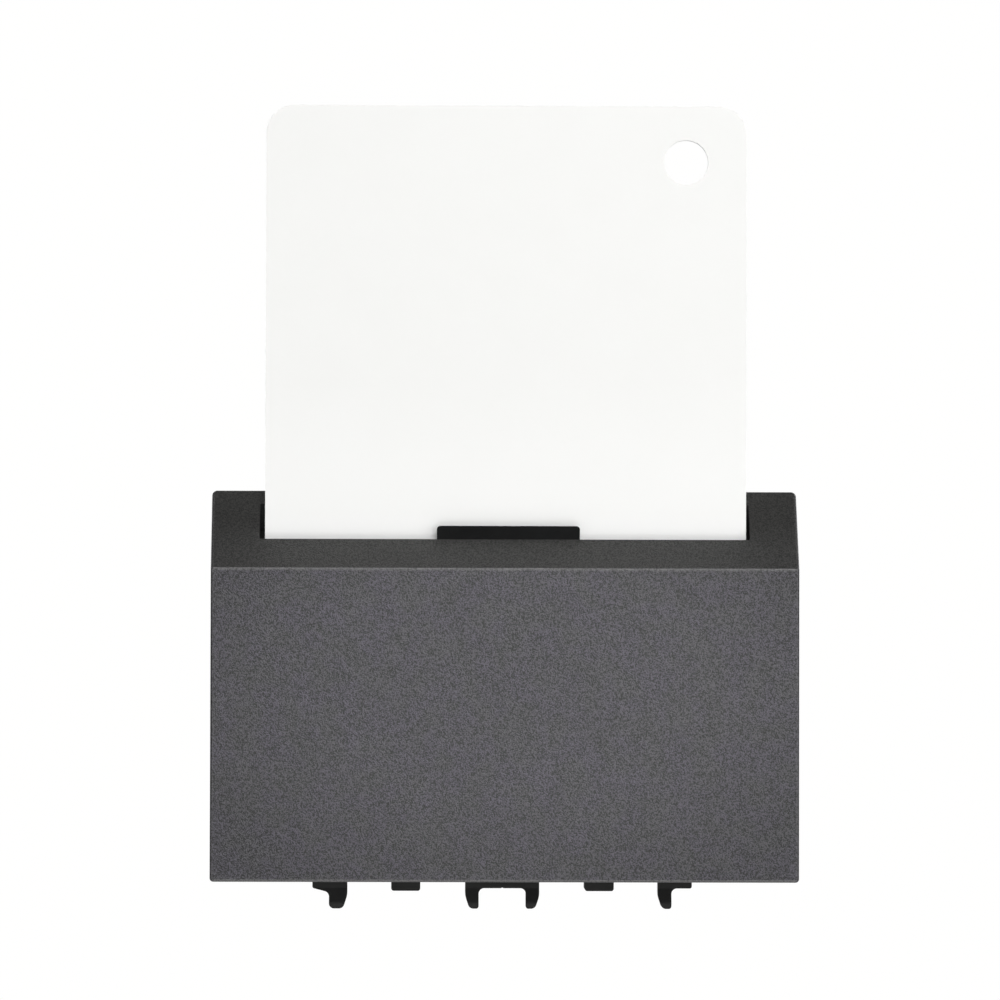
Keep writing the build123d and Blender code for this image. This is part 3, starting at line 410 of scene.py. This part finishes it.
def metal(colour, tarnished, rough, brush=(1.0, 1.0, 14.0)):
    """Stamped or turned metal: fine tool marks, a little tarnish and brighter edges."""
    def build(tree, coords):
        marks = tree.noise(coords, scale=1700, detail=3.0, rough=0.6, stretch=brush)
        tarnish = tree.noise(coords, scale=260, detail=4.0, rough=0.6)
        edge, soft = worn_edges(tree, 0.00012)
        tint = tree.mix(tree.ramp(tarnish, 0.45, 0.75, 0.0, 0.55), colour, tarnished)
        brushed = tree.ramp(marks, *WIDE, rough - 0.07, rough + 0.07)
        dulled = tree.ramp(tarnish, 0.5, 0.8, 0.0, 0.14)
        return tree.surface({
            "Base Color": tree.mix(tree.times(edge, 0.4), tint, scaled(colour, 1.2)),
            "Metallic": 1.0,
            "Roughness": tree.calc("ADD", brushed, dulled),
            "Normal": tree.bump(marks, distance=0.00001, strength=0.45, normal=soft),
        })
    return build


def clear_lens(tree, coords):
    """Clear moulding with a fine frosting on it."""
    frost = tree.noise(coords, scale=2400, rough=0.6)
    return tree.surface({
        "Base Color": tree.mix(tree.ramp(frost, *WIDE), *LENS_TINTS),
        "Roughness": tree.ramp(frost, *WIDE, 0.12, 0.3),
        "IOR": 1.49,
        "Transmission Weight": 0.85,
        "Normal": tree.bump(frost, distance=0.00001, strength=0.4),
    })


def led_body(tree, coords):
    """White package with a clear dome in front of it."""
    base = tree.ramp(tree.xyz(coords)["Y"], *LED_BASE_FADE)
    grain = tree.noise(coords, scale=2200)
    return tree.surface({
        "Base Color": tree.mix(base, DOME_TINT, tree.mix(grain, *PACKAGE_TINTS)),
        "Roughness": tree.ramp(base, 0, 1, 0.08, 0.45),
        "Transmission Weight": tree.ramp(base, 0, 1, 0.6, 0.0),
        "Normal": tree.bump(grain, distance=0.00001, strength=0.4),
    })


def board(tree, coords):
    """Green solder mask over copper tracks, with bare pads round the leads."""
    x, y, z = tree.xyz(coords)
    low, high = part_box("lamp_board")
    middle = (low.z + high.z) / 2
    upper, lower = middle + BOARD_ROW, middle - BOARD_ROW
    weave = tree.noise(coords, scale=900, stretch=(1.0, 1.0, 0.25))

    track = 0.0
    for row in (upper, lower, middle):
        track = tree.calc("MAXIMUM", track, tree.band(z, row, 0.00035, 0.00045))
    track = tree.times(track, tree.band(x, 0.0, 0.0112, 0.0114))

    pads = 0.0
    for pad_x, pad_z in (
        (-RESISTOR_PAD_X, upper),
        (RESISTOR_PAD_X, upper),
        (-DIODE_PAD_X, lower),
        (DIODE_PAD_X, lower),
    ):
        place = tree.add("ShaderNodeCombineXYZ", {0: pad_x, 1: y, 2: pad_z}).outputs[0]
        pad = tree.ramp(tree.measure("DISTANCE", coords, place), 0.0007, 0.00078, 1.0, 0.0)
        pads = tree.calc("MAXIMUM", pads, pad)

    mask = tree.mix(track, tree.mix(weave, *MASK_TINTS), TRACK_TINT)
    height = tree.calc("ADD", track, tree.times(weave, 0.15))
    return tree.surface({
        "Base Color": tree.mix(pads, mask, BARE_PAD),
        "Metallic": pads,
        "Roughness": tree.ramp(weave, *WIDE, 0.26, 0.36),
        "Normal": tree.bump(height, distance=0.00003, strength=0.6),
    })


def wired(half, body, bands):
    """A part lying along X: its body with bands, and tinned leads beyond its ends."""
    def build(tree, coords):
        x = tree.xyz(coords)["X"]
        mottle = tree.noise(coords, scale=1500, detail=3.0, rough=0.6)
        tint = tree.mix(mottle, scaled(body, 0.82), body)
        for place, width, colour in bands:
            inside = tree.band(x, place, width / 2, width / 2 + BAND_FADE)
            tint = tree.mix(inside, tint, colour)
        outside = tree.ramp(tree.calc("ABSOLUTE", x), half - LEAD_FADE, half + LEAD_FADE)
        return tree.surface({
            "Base Color": tree.mix(outside, tint, TIN),
            "Metallic": outside,
            "Roughness": tree.ramp(mottle, *WIDE, 0.24, 0.36),
            "Normal": tree.bump(mottle, distance=0.00002, strength=0.4),
        })
    return build


def contact_metal(tree, coords):
    """Copper alloy blade with silver contact buttons."""
    x, y, _ = tree.xyz(coords)
    low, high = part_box("contact_blade")
    depth = tree.calc("ABSOLUTE", tree.calc("SUBTRACT", y, (low.y + high.y) / 2))
    button = tree.times(tree.ramp(depth, *BUTTON_DEPTH), tree.ramp(x, *BUTTON_X))
    marks = tree.noise(coords, scale=1900, detail=3.0, rough=0.6, stretch=(0.08, 1.0, 1.0))
    return tree.surface({
        "Base Color": tree.mix(button, tree.mix(marks, *COPPER_TINTS), SILVER),
        "Metallic": 1.0,
        "Roughness": tree.ramp(marks, *WIDE, 0.22, 0.34),
        "Normal": tree.bump(marks, distance=0.00001, strength=0.4),
    })


def dress():
    """A procedural material for each CAD node."""
    steel = metal(STEEL, STEEL_TARNISH, rough=0.3)
    spring = metal(SPRING_STEEL, SPRING_TARNISH, rough=0.26, brush=(14.0, 1.0, 1.0))
    brass = metal(BRASS, BRASS_TARNISH, rough=0.27)
    switch_body = moulded(SWITCH_BLACK, rough=0.42, grain=0.00001, scale=3400)
    looks = {
        "front_cover": graphite,
        "card_pocket": moulded(POCKET_BLACK, rough=0.48),
        "card_clip": smooth_black,
        "key_card": card_white,
        "locator_lens": clear_lens,
        "locator_led": led_body,
        "lamp_board": board,
        "lamp_resistor": wired(RESISTOR_HALF, RESISTOR_TINT, RESISTOR_BANDS),
        "lamp_diode": wired(DIODE_HALF, DIODE_TINT, DIODE_BANDS),
        "switch_lever": moulded(LEVER_WHITE, rough=0.4, grain=0.00001, wear=WORN_WHITE),
        "lever_pin": steel,
        "lever_spring": spring,
        "switch_case": switch_body,
        "switch_lid": switch_body,
        "switch_plunger": moulded(
            PLUNGER_RED, rough=0.32, grain=0.000008, scale=3000, wear=WORN_RED
        ),
        "contact_blade": contact_metal,
        "snap_spring": spring,
        "common_contact": brass,
        "working_contact": brass,
        "resting_contact": brass,
        "switch_screw": steel,
        "mounting_frame": moulded(FRAME_BLACK, rough=0.58, shine=0.12),
        "frame_screws": steel,
        "rear_housing": moulded(HOUSING_BLACK, rough=0.46, grain=0.00003, scale=2100),
        "terminal_cages": brass,
        "terminal_screws": steel,
        "common_busbar": brass,
        "working_busbar": brass,
        "resting_busbar": brass,
        "neutral_busbar": brass,
    }
    made = {}
    for name, build in looks.items():
        if build not in made:
            made[build] = material(name + "_look", build)
        mesh = nodes[name].data
        mesh.materials.clear()
        mesh.materials.append(made[build])


# Studio
def area_light(name, place, target, width, height, power):
    data = bpy.data.lights.new(name, "AREA")
    data.shape = "RECTANGLE"
    data.size = width
    data.size_y = height
    data.energy = power
    made = link(name, data)
    made.location = place
    made.rotation_euler = (Vector(target) - Vector(place)).to_track_quat("-Z", "Y").to_euler()


def seen_paths(tree):
    """The light path's outputs, and 1 for what the camera sees, also through clear pieces."""
    path = tree.add("ShaderNodeLightPath").outputs
    return path, tree.calc("MAXIMUM", path["Is Camera Ray"], path["Is Transmission Ray"])


def world():
    """White to the eye, a dim fill for plain surfaces, and a band behind for glossy ones."""
    made = bpy.data.worlds.new("studio")
    bpy.context.scene.world = made
    tree = Tree(made)
    path, seen = seen_paths(tree)
    x, y, z = tree.xyz(tree.add("ShaderNodeTexCoord").outputs["Generated"])
    behind = tree.times(tree.ramp(y, -0.1, 0.35), tree.ramp(z, 0.3, 0.75, 1.0, 0.0))
    gloss = tree.ramp(behind, 0, 1, *SKY_GLOSS)
    gloss = tree.times(gloss, tree.ramp(x, -0.35, 0.1, 0.3, 1.0))
    level = tree.blend(path["Is Glossy Ray"], SKY_FILL, gloss)
    level = tree.blend(seen, level, 1.0)
    shader = tree.add("ShaderNodeBackground", {"Color": SKY_WHITE, "Strength": level})
    tree.add("ShaderNodeOutputWorld", {"Surface": shader})


def floor_paper(tree, coords):
    """Pale paper that keeps the shadow near the object and fades to white around it."""
    _, seen = seen_paths(tree)
    mottle = tree.noise(coords, scale=40, detail=3.0)
    paper = tree.add("ShaderNodeBsdfDiffuse", {"Color": tree.mix(mottle, *PAPER_TINTS)})
    lift = tree.add("ShaderNodeEmission", {"Color": WHITE, "Strength": FLOOR_LIFT})
    near = tree.add("ShaderNodeAddShader", {0: paper, 1: lift})
    far = tree.add("ShaderNodeEmission", {"Color": WHITE, "Strength": 1.0})
    fade = tree.ramp(tree.measure("LENGTH", coords), *FLOOR_FADE)
    shown = tree.add("ShaderNodeMixShader", {0: fade, 1: near, 2: far})
    return tree.add("ShaderNodeMixShader", {0: seen, 1: paper, 2: shown})


def floor():
    angles = [math.tau * i / FLOOR_POINTS for i in range(FLOOR_POINTS)]
    points = [(FLOOR_RADIUS * math.cos(a), FLOOR_RADIUS * math.sin(a), FLOOR_Z) for a in angles]
    mesh = bpy.data.meshes.new("floor")
    mesh.from_pydata(points, [], [tuple(range(FLOOR_POINTS))])
    mesh.materials.append(material("floor_look", floor_paper))
    obj = link("floor", mesh)


camera()
dress()
world()
floor()
for light in LIGHTS:
    area_light(*light)
scene = bpy.context.scene
scene.view_settings.view_transform = "Standard"
